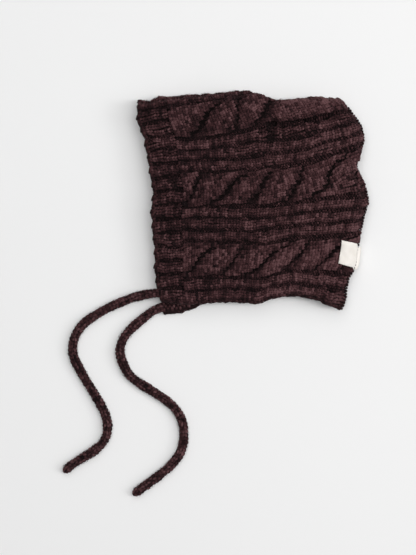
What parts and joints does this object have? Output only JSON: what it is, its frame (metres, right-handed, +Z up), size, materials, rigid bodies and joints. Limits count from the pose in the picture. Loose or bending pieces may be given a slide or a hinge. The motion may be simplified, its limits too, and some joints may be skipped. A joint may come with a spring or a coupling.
{
  "type": "cable-knit baby bonnet",
  "caption": "Soft knitted bonnet with rope cables, a ribbed face edge and two knitted cord ties, lying folded flat on its side.",
  "frame": {"origin": "on the surface it lies on, under the middle of the bonnet's box, the ties left out", "axes": "+X from the face edge to the back seam, +Y from the neck edge to the crown fold, +Z up, away from the surface"},
  "size_m": [0.2284, 0.3032, 0.0257],
  "materials": {
    "yarn": "matt, slightly hairy wool",
    "tape": "smooth woven tape"
  },
  "bodies": {
    "root": {"crown": "yarn", "face_band": "yarn", "label": "tape", "near_tie": "yarn", "far_tie": "yarn"}
  },
  "joints": []
}
